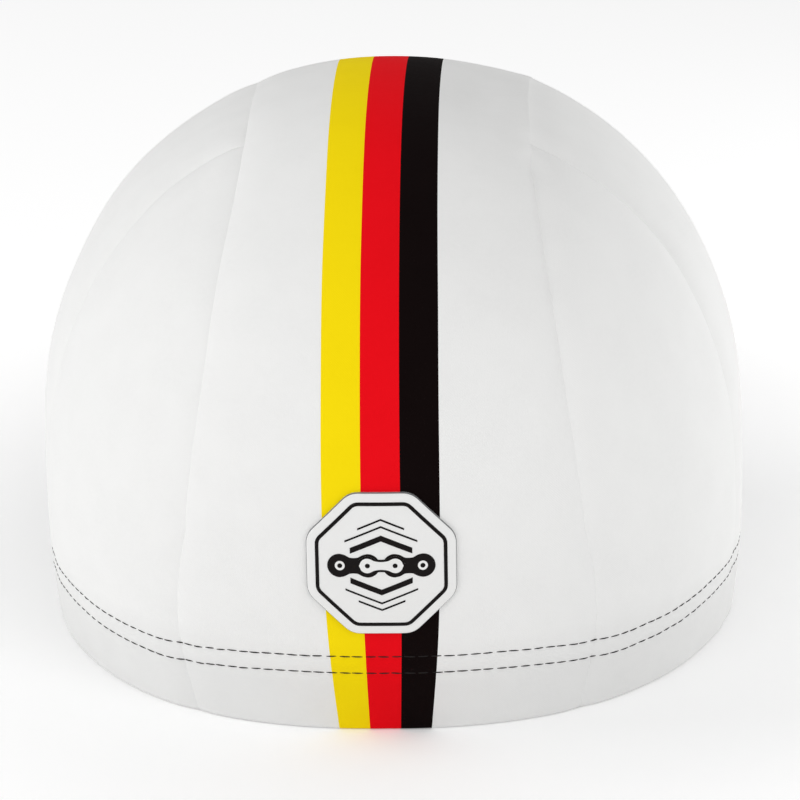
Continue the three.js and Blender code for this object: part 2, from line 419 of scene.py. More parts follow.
def seamTerms(points, side, isCentre):
    # relief near the seams of one side, and the share of the allowances inside.
    # A seam is a shallow valley whose walls meet in a crease.
    y, z = points[..., 1], points[..., 2]
    toCentre = distanceTo(seamLines[side, "centre"], points)
    toSide = distanceTo(seamLines[side, "side"], points)
    share = np.clip((z - seam["topFrom"]) / (seam["topTo"] - seam["topFrom"]), 0, 1)
    depth = seam["depth"] + (seam["topDepth"] - seam["depth"]) * share
    aboveHem = z / seam["hemFlat"]
    a = np.exp(-toCentre / seam["width"])
    b = np.exp(-toSide / seam["width"]) * np.clip(aboveHem, seam["hemShare"], 1)
    station = np.degrees(np.arctan2(z - crown["bulge"], y)) / 90
    crestShare = 0
    if side > 0:
        b = b * seam["leftSide"]
    else:
        depth = depth * (1 + seam["rightGain"] * np.clip(aboveHem - seam["gainFrom"], 0, 1))
        crestShare = smoothStep((station - ridge["start"]) / ridge["fade"])
        crestShare = crestShare * smoothStep((ridge["end"] - station) / ridge["fall"])
    onTop = smoothStep((station - seam["softFrom"]) / seam["softOver"])
    a = a * (1 - crestShare) * (1 - seam["softLoss"] * onTop)
    valley = depth * (a**4 + b**4) ** 0.25
    phase = runOver(points) * 2 * math.pi / seam["puckerPitch"]
    sidePhase = z * 2 * math.pi / seam["sidePuckerPitch"]
    pucker = waves(phase, "leftSeam" if side > 0 else "rightSeam") * np.exp(-toCentre / seam["puckerReach"])
    pucker = pucker + waves(sidePhase, "sideSeams") * np.exp(-toSide / seam["puckerReach"])
    shoulder = 0
    for away in (toCentre, toSide):
        shoulder = shoulder + np.exp(-(((away - seam["shoulderFrom"]) / seam["shoulderWidth"]) ** 2))
    relief = seam["shoulder"] * shoulder + seam["pucker"] * pucker - valley
    if isCentre:
        crest = np.exp(-((toCentre / ridge["softWidth"]) ** 2))
    else:
        crest = np.exp(-toCentre / ridge["sharpWidth"])
    near = np.minimum(toCentre, toSide)
    allowance = np.clip((seam["allowanceWidth"] - near) / seam["allowanceEdge"], 0, 1)
    return relief + crestShare * ridge["rise"] * crest, allowance * (0 if isCentre else 1)


def lipInset(z):
    # the turned edge at the hem is round
    low = np.clip(crown["lip"] - z, 0, crown["lip"])
    return crown["lip"] - np.sqrt(crown["lip"] ** 2 - low**2)


def runAlong(points, axis):
    # distance along rows or columns of a grid, from their start
    total = np.cumsum(np.linalg.norm(np.diff(points, axis=axis), axis=-1), axis=axis)
    return np.concatenate([np.zeros_like(np.take(total, [0], axis=axis)), total], axis=axis)


def clothPoints(plain, side):
    # outer and inner grids of a panel. side is 0 for the centre panel.
    if side == 0:
        left, right = seamTerms(plain, 1, True), seamTerms(plain, -1, True)
        atSeams, nearSeam = [np.where(plain[..., 0] > 0, a, b) for a, b in zip(left, right)]
    else:
        atSeams, nearSeam = seamTerms(plain, side, False)
    relief = softRelief(plain) + hemRelief(plain) + atSeams
    height = plain[..., 2]
    lip = lipInset(height)
    turned = crown["cloth"] * np.clip((crown["foldTop"] - height) / crown["foldEdge"], 0, 1)
    thickness = crown["cloth"] + np.maximum(seam["allowance"] * nearSeam, turned)
    room = np.where(height < crown["bandTop"], crown["bandRoom"], crown["room"])
    normal = crownNormal(plain)
    inward = np.minimum(thickness - relief, room) - lip * crown["lipInside"]
    return settle(plain + normal * (relief - lip)[..., None]), settle(plain - normal * inward[..., None])


meshing = {"joinWithin": 2e-6, "leastEdge": 1e-6, "smoothAngle": 40}  # metres and degrees


def buildMesh(name, points, quads, materials, slots=None, uv=None):
    mesh = bpy.data.meshes.new(name)
    mesh.from_pydata((np.asarray(points) * mm).tolist(), [], np.asarray(quads).tolist())
    for material in materials:
        mesh.materials.append(material)
    if slots is not None:
        mesh.polygons.foreach_set("material_index", np.asarray(slots, np.int32))
    if uv is not None:
        layer = mesh.uv_layers.new(name="clothUv")
        corners = np.zeros(len(mesh.loops), np.int32)
        mesh.loops.foreach_get("vertex_index", corners)
        layer.data.foreach_set("uv", (np.asarray(uv) * mm)[corners].astype(np.float32).ravel())
    work = bmesh.new()
    work.from_mesh(mesh)
    bmesh.ops.remove_doubles(work, verts=work.verts, dist=meshing["joinWithin"])
    bmesh.ops.dissolve_degenerate(work, edges=work.edges, dist=meshing["leastEdge"])
    bmesh.ops.recalc_face_normals(work, faces=work.faces)
    work.to_mesh(mesh)
    work.free()
    mesh.polygons.foreach_set("use_smooth", np.ones(len(mesh.polygons), bool))
    mesh.set_sharp_from_angle(angle=math.radians(meshing["smoothAngle"]))
    mesh.update()
    piece = bpy.data.objects.new(name, mesh)
    bpy.context.scene.collection.objects.link(piece)
    return piece


def wallQuads(rows, columns, isLoop=False):
    # quads of a closed wall between two grids of points.
    # They are numbered row by row, and the second grid follows the first.
    count, last = rows * columns, (rows - 1) * columns
    c = np.arange(columns if isLoop else columns - 1)
    n = (c + 1) % columns
    r = np.arange(rows - 1)[:, None] * columns
    face = np.stack([r + c, r + n, r + columns + n, r + columns + c], -1).reshape(-1, 4)
    parts = [face, face[:, ::-1] + count, np.stack([n, c, c + count, n + count], -1)]
    parts.append(last + np.stack([c, n, n + count, c + count], -1))
    if not isLoop:
        start, end = r[:, 0], r[:, 0] + columns - 1
        parts.append(np.stack([start, start + columns, start + columns + count, start + count], -1))
        parts.append(np.stack([end + columns, end, end + count, end + columns + count], -1))
    return np.concatenate(parts)


def shell(name, outer, inner, materials, columnSlots=None, uv=None, isLoop=False, flip=False):
    # a closed wall between two grids of the same shape. Flip turns its faces over.
    rows, columns = outer.shape[:2]
    quads = wallQuads(rows, columns, isLoop)
    if flip:
        quads = quads[:, ::-1]
    slots = np.zeros(len(quads), np.int32)
    if columnSlots is not None:
        across = columns if isLoop else columns - 1
        slots[: (rows - 1) * across] = np.broadcast_to(columnSlots, (rows - 1, across)).ravel()
    points = np.concatenate([outer.reshape(-1, 3), inner.reshape(-1, 3)])
    both = None if uv is None else np.concatenate([uv.reshape(-1, 2)] * 2)
    return buildMesh(name, points, quads, materials, slots, both)


def linear(hexColour):
    # sRGB hex to linear colour with alpha
    values = [int(hexColour[i : i + 2], 16) / 255 for i in (1, 3, 5)]
    return [v / 12.92 if v <= 0.04045 else ((v + 0.055) / 1.055) ** 2.4 for v in values] + [1.0]


def addNode(tree, kind, inputs=None, **settings):
    # one node with its settings, and its inputs set or linked
    node = tree.nodes.new(kind)
    for key, value in settings.items():
        setattr(node, key, value)
    for key, value in (inputs or {}).items():
        if isinstance(value, bpy.types.NodeSocket):
            tree.links.new(value, node.inputs[key])
        else:
            node.inputs[key].default_value = value
    return node


# What all the cloths share. Lengths are in mm.
clothLook = {
    "slub": 1.1111,  # size of the thick places in the yarn
    "slubShare": 0.8,
    "weaveDepth": 0.06,
    "crease": 10.526,  # size of the soft handling marks
    "creaseDepth": 0.5,
    "creaseBump": 0.35,
    "toneFrom": 0.35,
    "toneTo": 0.65,
    "toneMost": 0.5,
    "roughSpan": 0.06,
    "hemShadeLow": 12.0,  # heights between which the painted shade toward the hem fades
    "hemShadeHigh": 24.0,
    "paintedHemShade": 0.915,
    "sheenRoughness": 0.6,
}


def wovenCloth(name, colour, deepColour, roughness, yarn, bump, ribbed=False, sheen=0.05, specular=0.2):
    # yarn is the spacing of the threads in mm. Ribbed cloth is a twill, whose ribs run aslant.
    # Toward the hem the colour darkens with height: painted shade of the lower wall.
    material = bpy.data.materials.new(name)
    material.use_nodes = True
    tree = material.node_tree
    shader = tree.nodes["Principled BSDF"]
    place = addNode(tree, "ShaderNodeUVMap", uv_map="clothUv")
    space = addNode(tree, "ShaderNodeTexCoord")
    split = addNode(tree, "ShaderNodeSeparateXYZ", {0: place.outputs["UV"]})
    perYarn = 2 * math.pi / (2 * yarn * mm)
    across = addNode(tree, "ShaderNodeMath", {0: split.outputs["X"], 1: perYarn}, operation="MULTIPLY")
    along = addNode(tree, "ShaderNodeMath", {0: split.outputs["Y"], 1: perYarn}, operation="MULTIPLY")
    if ribbed:
        slant = addNode(tree, "ShaderNodeMath", {0: across.outputs[0], 1: along.outputs[0]}, operation="ADD")
        weave = addNode(tree, "ShaderNodeMath", {0: slant.outputs[0]}, operation="SINE")
    else:
        warp = addNode(tree, "ShaderNodeMath", {0: across.outputs[0]}, operation="SINE")
        weft = addNode(tree, "ShaderNodeMath", {0: along.outputs[0]}, operation="SINE")
        both = {0: warp.outputs[0], 1: weft.outputs[0]}
        weave = addNode(tree, "ShaderNodeMath", both, operation="MULTIPLY")
    slub = addNode(
        tree,
        "ShaderNodeTexNoise",
        {"Vector": place.outputs["UV"], "Scale": 1 / (clothLook["slub"] * mm), "Detail": 2.0},
    )
    crease = addNode(
        tree,
        "ShaderNodeTexNoise",
        {"Vector": space.outputs["Object"], "Scale": 1 / (clothLook["crease"] * mm), "Detail": 3.0},
    )
    slubbed = addNode(
        tree,
        "ShaderNodeMath",
        {0: slub.outputs["Fac"], 1: clothLook["slubShare"], 2: weave.outputs[0]},
        operation="MULTIPLY_ADD",
    )
    fine = addNode(
        tree,
        "ShaderNodeBump",
        {"Strength": bump, "Distance": clothLook["weaveDepth"] * mm, "Height": slubbed.outputs[0]},
    )
    soft = addNode(
        tree,
        "ShaderNodeBump",
        {
            "Strength": clothLook["creaseBump"],
            "Distance": clothLook["creaseDepth"] * mm,
            "Height": crease.outputs["Fac"],
            "Normal": fine.outputs["Normal"],
        },
    )
    tone = addNode(
        tree,
        "ShaderNodeMapRange",
        {
            "Value": crease.outputs["Fac"],
            "From Min": clothLook["toneFrom"],
            "From Max": clothLook["toneTo"],
            "To Min": 0.0,
            "To Max": clothLook["toneMost"],
        },
    )
    toneMix = addNode(
        tree, "ShaderNodeMath", {0: slub.outputs["Fac"], 1: tone.outputs[0]}, operation="MULTIPLY"
    )
    mixed = addNode(
        tree,
        "ShaderNodeMix",
        {"Factor": toneMix.outputs[0], "A": linear(colour), "B": linear(deepColour)},
        data_type="RGBA",
    )
    least, most = roughness - clothLook["roughSpan"], roughness + clothLook["roughSpan"]
    rough = addNode(
        tree, "ShaderNodeMapRange", {"Value": slub.outputs["Fac"], "To Min": least, "To Max": most}
    )
    height = addNode(tree, "ShaderNodeSeparateXYZ", {0: space.outputs["Object"]})
    # painted shade: below 24 mm the colour darkens toward the hem
    shadeByHeight = addNode(
        tree,
        "ShaderNodeMapRange",
        {
            "Value": height.outputs["Z"],
            "From Min": clothLook["hemShadeLow"] * mm,
            "From Max": clothLook["hemShadeHigh"] * mm,
            "To Min": clothLook["paintedHemShade"],
            "To Max": 1.0,
        },
    )
    shadedColour = addNode(
        tree,
        "ShaderNodeVectorMath",
        {0: mixed.outputs["Result"], "Scale": shadeByHeight.outputs[0]},
        operation="SCALE",
    )
    tree.links.new(shadedColour.outputs[0], shader.inputs["Base Color"])
    tree.links.new(rough.outputs[0], shader.inputs["Roughness"])
    tree.links.new(soft.outputs["Normal"], shader.inputs["Normal"])
    shader.inputs["Sheen Weight"].default_value = sheen
    shader.inputs["Sheen Roughness"].default_value = clothLook["sheenRoughness"]
    shader.inputs["Specular IOR Level"].default_value = specular
    return material


grainLook = {"size": 0.66667, "depth": 0.1, "roughSpan": 0.08}  # lengths in mm


def plainFinish(name, colour, roughness, specular=0.4, grain=0.0):
    # a finish with one colour and a fine grain
    material = bpy.data.materials.new(name)
    material.use_nodes = True
    tree = material.node_tree
    shader = tree.nodes["Principled BSDF"]
    shader.inputs["Base Color"].default_value = linear(colour)
    shader.inputs["Specular IOR Level"].default_value = specular
    space = addNode(tree, "ShaderNodeTexCoord")
    noise = addNode(
        tree,
        "ShaderNodeTexNoise",
        {"Vector": space.outputs["Object"], "Scale": 1 / (grainLook["size"] * mm)},
    )
    least, most = roughness - grainLook["roughSpan"], roughness + grainLook["roughSpan"]
    rough = addNode(
        tree, "ShaderNodeMapRange", {"Value": noise.outputs["Fac"], "To Min": least, "To Max": most}
    )
    bump = addNode(
        tree,
        "ShaderNodeBump",
        {"Strength": grain, "Distance": grainLook["depth"] * mm, "Height": noise.outputs["Fac"]},
    )
    tree.links.new(rough.outputs[0], shader.inputs["Roughness"])
    tree.links.new(bump.outputs["Normal"], shader.inputs["Normal"])
    return material


printLook = {"sheen": 0.0, "specular": 0.06}
finishes = {
    # cotton poplin, bleached: matte white whose plain weave only just shows
    "whiteCotton": wovenCloth("bleachedCottonPoplin", "#F0F0EF", "#E9E9E8", 0.88, 0.3, 0.12),
    # the same poplin with reactive print, which keeps the weave under a flat strong colour
    "yellowPrint": wovenCloth("yellowPrintedPoplin", "#FCE00A", "#F6D906", 0.84, 0.3, 0.12, **printLook),
    "redPrint": wovenCloth("redPrintedPoplin", "#EE0A18", "#E60814", 0.84, 0.3, 0.12, **printLook),
    "blackPrint": wovenCloth("blackPrintedPoplin", "#0C0404", "#120808", 0.84, 0.3, 0.12, **printLook),
    # cotton tape, a shade warmer, with clear slanting ribs
    "bandTape": wovenCloth("cottonTwillTape", "#E8E7E2", "#DAD8D1", 0.9, 0.9, 0.6, ribbed=True),
    # smooth coated badge cloth: whiter and flatter than the poplin
    "badgeCloth": wovenCloth("coatedBadgeCloth", "#EDEDEC", "#E9E9E8", 0.6, 0.25, 0.1, sheen=0.0),
    # polyester sewing thread: a soft gloss along its twist
    "blackThread": plainFinish("blackPolyesterThread", "#1A1616", 0.6, specular=0.2, grain=0.5),
    "whiteThread": plainFinish("whitePolyesterThread", "#F0EFEC", 0.55, grain=0.5),
    # screen ink on the badge: dense and nearly matte
    "badgeInk": plainFinish("blackScreenInk", "#0C0606", 0.6, specular=0.15, grain=0.1),
    # the felt core of the patch, dull grey where it is cut
    "badgeEdge": plainFinish("greyCutEdge", "#77787A", 0.7, specular=0.2, grain=0.3),
}
whiteSlots = [finishes["whiteCotton"]]
stripedSlots = [finishes[name] for name in ("whiteCotton", "yellowPrint", "redPrint", "blackPrint")]
print("materials made:", len(finishes))

# Rows of the grids: fine where the cloth turns at the hem and dips at the stitches
wallHeights = np.concatenate(
    [
        [0, 0.12, 0.3, 0.55, 0.9, 1.3, 1.9, 2.7],
        np.arange(3.8, 12.9, 1.15),
        np.arange(13.2, 20.9, 0.45),
        np.arange(21.8, crown["bulge"] - 1, 1.9),
    ]
)
edgeSteps = np.array([0, 0.3, 0.65, 1.05, 1.5, 2.1, 2.9, 4.0, 5.3, 6.8, 8.5])  # mm from a seam
grid = {
    "edgeShare": 0.35,  # most of a row that the close columns at one seam may take
    "domeRows": 136,
    "centreColumns": 9,
    "stripeColumns": 4,  # for each of its three colours
    "levelTop": 30.0,  # the side panels' rows are level with the hem up to here
    "rearRows": 62,
    "rearColumns": 14,
    "frontRows": 110,
    "frontColumns": 34,
    "tip": 0.01,  # least width at the junction
}


def spread(width, middle, bothEnds=True):
    # column places from 0 to 1 across a row of that width: close together near a seam
    near = edgeSteps[None, :] / width[:, None]
    near = near * np.minimum(1, grid["edgeShare"] / near[:, -1:])
    low = near[:, -1:]
    high = 1 - low if bothEnds else np.ones_like(low)
    inner = low + (high - low) * np.linspace(0, 1, middle + 1)[None, 1:]
    if not bothEnds:
        return np.concatenate([near, inner], 1)
    return np.concatenate([near, inner, 1 - near[:, -2::-1]], 1)


def makeCentrePanel():
    rearWall = wallHeights / crown["bulge"] - 1
    dome = np.linspace(0, 2, grid["domeRows"])
    station = np.concatenate([rearWall, dome, (3 - wallHeights / crown["bulge"])[::-1]])
    stripe = readTable(centrePath, "station", "stripe", station)
    left, right = [], []
    for side, columns in ((1, left), (-1, right)):
        plainWidth = seamHalf(side, station) - stripe
        outside = spread(plainWidth, grid["centreColumns"], bothEnds=False)
        columns.append(side * (stripe[:, None] + plainWidth[:, None] * (1 - outside)))
    inStripe = stripe[:, None] * np.linspace(1, -1, 3 * grid["stripeColumns"] + 1)[None, 1:-1]
    x = np.concatenate([left[0], inStripe, right[0][:, ::-1]], 1)
    white, colours = [0] * (outside.shape[1] - 1), np.repeat([1, 2, 3], grid["stripeColumns"])
    columnSlots = np.concatenate([white, colours, white])
    plain = crownAt(x, station[:, None])
    outer, inner = clothPoints(plain, 0)
    uv = np.stack([x, runAlong(plain, 0)], -1)
    return shell("centrePanel", outer, inner, stripedSlots, columnSlots, uv)


def makeSidePanel(name, side, isFront):
    # rows run from the side seam to the centre seam and shrink to the junction on top
    wall = wallHeights[wallHeights < grid["levelTop"]]
    wallStation = 3 - wall / crown["bulge"] if isFront else wall / crown["bulge"] - 1
    topRows = grid["frontRows" if isFront else "rearRows"]
    station = np.concatenate([wallStation, np.linspace(wallStation[-1], junctionStation, topRows)[1:]])
    junctionHeight = centreSeam(side, np.array([junctionStation]))[0, 2]
    above = wall[-1] + (junctionHeight - wall[-1]) * np.linspace(0, 1, topRows)[1:]
    start, end = sideSeam(side, np.concatenate([wall, above]) / junctionHeight), centreSeam(side, station)
    width = np.maximum(np.linalg.norm(end - start, axis=-1), grid["tip"])
    across = spread(width, grid["frontColumns" if isFront else "rearColumns"])
    plain = crownToward(start[:, None] + (end - start)[:, None] * across[..., None])
    outer, inner = clothPoints(plain, side)
    run = runAlong(plain, 1)
    uv = np.stack([-side * (run[:, -1:] - run), runAlong(plain, 0)], -1)
    return shell(name, outer, inner, whiteSlots, None, uv, flip=(side > 0) == isFront)


seamLines = makeSeamLines()
panels = [makeCentrePanel()]
for word, side in (("Left", 1), ("Right", -1)):
    panels.append(makeSidePanel("rearSidePanel" + word, side, False))
    panels.append(makeSidePanel("frontSidePanel" + word, side, True))
panelNodes = [
    "centre_panel",
    "rear_side_panel_left",
    "front_side_panel_left",
    "rear_side_panel_right",
    "front_side_panel_right",
]
for piece, node in zip(panels, panelNodes):
    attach(piece, "root")
    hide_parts(node)
print("crown panels made:", [len(piece.data.polygons) for piece in panels])

band = {
    "height": 21.0,
    "outside": 1.7,  # from the plain crown in to its outer face
    "wall": 1.05,
    "edge": 0.45,
    "edgeRows": (0, 0.08, 0.3, 0.6, 1),  # shares of the edge
    "lowRows": (1.2, 2.4, 4, 6, 8, 10, 12),
    "stitchRows": (13.0, 20.4, 0.4),  # from, to and step of the close rows at the stitches
    "columns": 300,
    "dipWidth": 0.7,
    "soft": 0.18,  # waviness of the inner face
    "softPitch": 6.0,
    "softSines": 5,
    "softFrom": 8.0,
    "softLeast": 0.2,
}


def makeHeadBand():
    # a twill tape sewn flat against the inside of the hem
    edge = band["edge"] * np.array(band["edgeRows"])
    low = np.concatenate([edge, band["lowRows"]])
    height = np.concatenate([low, np.arange(*band["stitchRows"]), band["height"] - edge[::-1]])
    turn = allAround(band["columns"])
    toEdge = np.minimum(height, band["height"] - height)
    short = np.clip(band["edge"] - toEdge, 0, band["edge"])
    lost = (band["edge"] - np.sqrt(band["edge"] ** 2 - short**2))[:, None]
    height = height[:, None]
    ring = np.stack(np.broadcast_arrays(np.sin(turn), np.cos(turn), height), -1)
    level = height - rowRise(ring)
    dip = sum(np.exp(-(((level - row) / band["dipWidth"]) ** 2)) for row in hem["rows"]) * hem["rowDip"]
    soft = band["soft"] * waves(turn * hem["radius"] / band["softPitch"], "bandTape", band["softSines"])
    soft = soft * np.clip(height / band["softFrom"], band["softLeast"], 1)
    outer = crownToward(ring, band["outside"] + lost)
    inner = crownToward(ring, band["outside"] + band["wall"] - lost - dip - np.abs(soft))
    uv = np.stack(np.broadcast_arrays(runAlong(outer, 1)[len(low) // 2], height), -1)
    return shell("headBand", settle(outer), settle(inner), [finishes["bandTape"]], None, uv, isLoop=True)


def peakEdge(x):
    # how far forward the free edge lies, from the crown's middle
    root = meetCrown(np.array([peak["halfWidth"], 0, 0]), np.array([0, -1.0, 0]), -peak["gap"])
    full = np.sqrt(np.maximum(1 - (np.abs(x) / peak["corner"]) ** peak["fullness"], 0))
    return root[1] - (peak["front"] + root[1]) * full


def peakPoints(x, row, height):
    # a point of the peak: row runs from the root to the free edge, height from its lower to its upper face
    origin = np.stack([x, np.zeros_like(x), height], -1)
    root = meetCrown(origin, np.array([0, -1.0, 0]), -peak["gap"])
    rise = archAt(x) * (1 - height / crown["bulge"]) - archAt(x) * peak["droop"] * row
    y = root[..., 1] + (peakEdge(x) - root[..., 1]) * row
    return np.stack([x, y + crown["middle"], height + rise], -1)


peakSkin = {
    "columns": 97,
    "rows": 44,
    "crowding": 1.7,  # how closely the rows stand at the free edge
    "edgePoints": 900,
    "endPoints": 80,
    "dip": 0.15,  # of the grooves under the stitches
    "dipWidth": 0.9,
    "puff": 0.12,  # of the filled edge outside them
    "puffInset": 1.8,
    "puffWidth": 1.2,
    "sway": 0.08,
    "swayPitch": 9.0,
    "swayFade": 12.0,
    "under": 0.1,  # keeps all of it within the wall
    "least": 0.03,
}


def makePeak():
    # two covers over a thin stiffener, with a rounded edge and a shallow groove along each stitch row
    columns = crowdEnds(peakSkin["columns"])
    rows = 1 - (1 - np.linspace(0, 1, peakSkin["rows"])) ** peakSkin["crowding"]
    x = np.broadcast_to(columns * peak["halfWidth"], (len(rows), len(columns)))
    row = np.broadcast_to(rows[:, None], x.shape)
    radius = peak["wall"] / 2
    middle = peakPoints(x, row, np.full(x.shape, radius))
    flat = middle * np.array([1, 1, 0])
    frontX = crowdEnds(peakSkin["edgePoints"]) * peak["halfWidth"]
    front = np.stack([frontX, peakEdge(frontX) + crown["middle"], 0 * frontX], -1)
    share = np.linspace(0, 1, peakSkin["endPoints"])[:-1, None]
    leftEnd = flat[0, 0] + (front[0] - flat[0, 0]) * share
    rightEnd = flat[0, -1] + (front[-1] - flat[0, -1]) * share[::-1]
    away = distanceTo(searchLine(np.concatenate([leftEnd, front, rightEnd])), flat)
    short = np.clip(radius - away, 0, radius)
    full = np.sqrt(np.maximum(radius**2 - short**2, 0))
    dip = sum(np.exp(-(((away - inset) / peakSkin["dipWidth"]) ** 2)) for inset in peakStitch["insets"])
    puff = np.exp(-(((away - peakSkin["puffInset"]) / peakSkin["puffWidth"]) ** 2))
    sway = waves(x / peakSkin["swayPitch"], "peakEdge") * np.exp(-away / peakSkin["swayFade"])
    relief = peakSkin["puff"] * puff + peakSkin["sway"] * sway - peakSkin["dip"] * dip - peakSkin["under"]
    full = full + relief * (full / radius) ** 2
    upper = peakPoints(x, row, radius + full)
    lower = peakPoints(x, row, np.maximum(radius - full, peakSkin["least"]))
    uv = np.stack([x, middle[..., 1]], -1)
    return shell("peakCover", upper, lower, whiteSlots, None, uv)


badge = {
    "centre": 44.0,  # height of its middle
    "sides": 8,
    "halfWidth": 17.4,
    "corner": 5.0,
    "front": 0.98,  # how far its front stands off the plain crown
    "wall": 0.94,
    "columns": 160,
    "flatRings": (0.02, 0.93, 12),  # first and last share of its reach, and their number
    "edgeRings": (0.96, 0.975, 0.985, 0.993, 1.0, 1.0),
    "edgeLifts": (0, -0.02, -0.07, -0.16, -0.3, -0.85),  # the rounded edge, below its front
    "ink": 0.07,  # thickness of the print
    "inkDepth": 0.12,
}


def badgeReach(turn, inset=0.0):
    # reach of the badge's outline, or of one that runs inside it
    half, corner = badge["halfWidth"] - inset, badge["corner"] - inset
    sector = 2 * math.pi / badge["sides"]
    fromCorner = np.abs((turn - math.pi / 2) % sector - sector / 2)
    fromMiddle = sector / 2 - fromCorner
    arcCentre = (half - corner) / math.cos(sector / 2)
    straightEnds = math.atan(arcCentre * math.sin(sector / 2) / half)
    offset = arcCentre * np.sin(fromCorner)
    onArc = arcCentre * np.cos(fromCorner) + np.sqrt(np.maximum(corner**2 - offset**2, 0))
    return np.where(fromMiddle <= straightEnds, half / np.cos(fromMiddle), onArc)


def onBadge(x, z, lift):
    # x and z are measured from the badge's middle, lift from its front
    origin = np.stack([x, np.zeros_like(x), z + badge["centre"]], -1)
    return settle(meetCrown(origin, np.array([0, 1.0, 0]), -badge["front"] - lift))


def makeBadge():
    # a stiff coated patch whose cut edge shows grey
    turn = allAround(badge["columns"])
    flat = np.linspace(*badge["flatRings"])
    ring = np.concatenate([flat, badge["edgeRings"]])[:, None]
    lift = np.concatenate([0 * flat, badge["edgeLifts"]])[:, None]
    reach = badgeReach(turn) * ring
    x, z = reach * np.cos(turn), reach * np.sin(turn)
    outer = onBadge(x, z, np.broadcast_to(lift, x.shape))
    inner = onBadge(x, z, np.full(x.shape, -badge["wall"]))
    slots = np.zeros((len(ring) - 1, len(turn)), np.int32)
    slots[-2:] = 1
    cloths = [finishes["badgeCloth"], finishes["badgeEdge"]]
    return shell("rearBadge", outer, inner, cloths, slots, np.stack([x, z], -1), isLoop=True)


def inkGrid(x, low, high, rows=2):
    # a printed shape between two heights over a run of x
    share = np.linspace(0, 1, rows)[:, None]
    z = low[None, :] + (high - low)[None, :] * share
    return np.broadcast_to(x[None, :], z.shape), z


def inkPiece(shapes, name, finish, lift=0.0):
    # each shape is a grid of x and z. They become one thin printed layer.
    points, quads, start = [], [], 0
    for x, z, isLoop in shapes:
        for height in (badge["ink"] + lift, -badge["inkDepth"]):
            points.append(onBadge(x, z, np.full(x.shape, height)).reshape(-1, 3))
        quads.append(start + wallQuads(*x.shape, isLoop))
        start += 2 * x.size
    return buildMesh(name, np.concatenate(points), np.concatenate(quads), [finish])


emblem = {
    "lineInset": 2.1,  # from the badge's edge to its black line
    "lineWidth": 0.85,
    "rollers": (-9.6, -3.2, 3.2, 9.6),
    "plateRadius": 2.9,
    "waist": 1.9,
    "frontRadius": 2.378,  # the middle link lies in front and is a little smaller
    "frontWaist": 1.52,
    "outline": 0.55,
    "shoulder": 0.98,  # the plates narrow a little inside their round ends
    "plateColumns": 41,
    "rivet": 1.15,
    "dot": 0.575,
    "hole": 0.02,
    "ringColumns": 40,
    "chevrons": ((7.4, 1.4, 7.2), (9.7, 0.45, 8.4), (11.4, 0.45, 5.4)),  # apex height, thickness, half width
    "chevronColumns": 25,
    "slope": 0.42,
    "whiteLift": 0.03,  # white is printed over black, and thin black lines over both
    "lineLift": 0.05,
}


def ringShape(centreX, centreZ, inner, outer):
    turn = allAround(emblem["ringColumns"])
    radius = np.array([outer, inner])[:, None]
    return centreX + radius * np.cos(turn), centreZ + radius * np.sin(turn), True


def plateOutline(x, half, radius, waist):
    # half height of a chain plate: two round ends and a narrower waist
    away = np.abs(np.abs(x) - half)
    end = np.sqrt(np.maximum(radius**2 - away**2, 0))
    neck = waist + (radius - waist) * (1 - np.clip(away / half, 0, 1)) ** 2
    return np.where(np.abs(x) < half, np.maximum(end * emblem["shoulder"], neck), end)


def makeEmblem():
    # a run of chain between chevrons, inside a line that follows the badge's edge
    turn = allAround(badge["columns"])
    insets = (emblem["lineInset"], emblem["lineInset"] + emblem["lineWidth"])
    reach = np.stack([badgeReach(turn, inset) for inset in insets])
    black = [(reach * np.cos(turn), reach * np.sin(turn), True)]
    rollers = emblem["rollers"]
    places = crowdEnds(emblem["plateColumns"])
    half, radius = (rollers[1] - rollers[0]) / 2, emblem["plateRadius"]
    x = (half + radius) * places
    tall = plateOutline(x, half, radius, emblem["waist"])
    for i in (0, 2):
        black.append((*inkGrid(x + (rollers[i] + rollers[i + 1]) / 2, -tall, tall, 3), False))
    for height, thick, width in emblem["chevrons"]:
        x = np.linspace(-width, width, emblem["chevronColumns"])
        top = height - np.abs(x) * emblem["slope"]
        black.append((*inkGrid(x, top - thick, top), False))
        black.append((*inkGrid(x, -top, -top + thick), False))
    radius, waist, line = emblem["frontRadius"], emblem["frontWaist"], emblem["outline"]
    x = (half + radius) * places
    tall = plateOutline(x, half, radius, waist)
    low = plateOutline(x, half, radius - line, waist - line)
    white = [(*inkGrid(x, -tall, tall, 3), False)]
    lines = [(*inkGrid(x, low, tall), False), (*inkGrid(x, -tall, -low), False)]
    for roller in rollers:
        white.append(ringShape(roller, 0, emblem["hole"], emblem["rivet"]))
        lines.append(ringShape(roller, 0, emblem["hole"], emblem["dot"]))
    return [
        inkPiece(black, "badgePrint", finishes["badgeInk"]),
        inkPiece(white, "badgePrintWhite", finishes["badgeCloth"], emblem["whiteLift"]),
        inkPiece(lines, "badgePrintLines", finishes["badgeInk"], emblem["lineLift"]),
    ]


hemStitch = {
    "pitch": 3.1,
    "length": 2.7,
    "radius": 0.17,
    "sink": -0.02,  # below nought, the thread's middle lies above the cloth
    "bow": 0.2,
    "seed": 3,
    "guidePoints": 720,
    "outsideInset": -1.5,  # the guides run off the cloth, outside and inside
    "insideInset": 5.0,
}
peakStitch = {
    "pitch": 2.9,
    "length": 2.5,
    "radius": 0.16,
    "sink": -0.02,
    "bow": 0.2,
    "seed": 5,
    "guidePoints": 400,
    "insets": (3.5, 8.0),  # from the free edge
    "guideLift": 1.5,
    "toHem": 1.0,  # each row stops this far from the hem
}
thread = {
    "points": 7,
    "sides": 6,
    "sway": (0.05, 0.05, 0.05),
    "smallest": (0.92, 0.92, 0.93),
    "largest": (1.08, 1.08, 1.04),
}


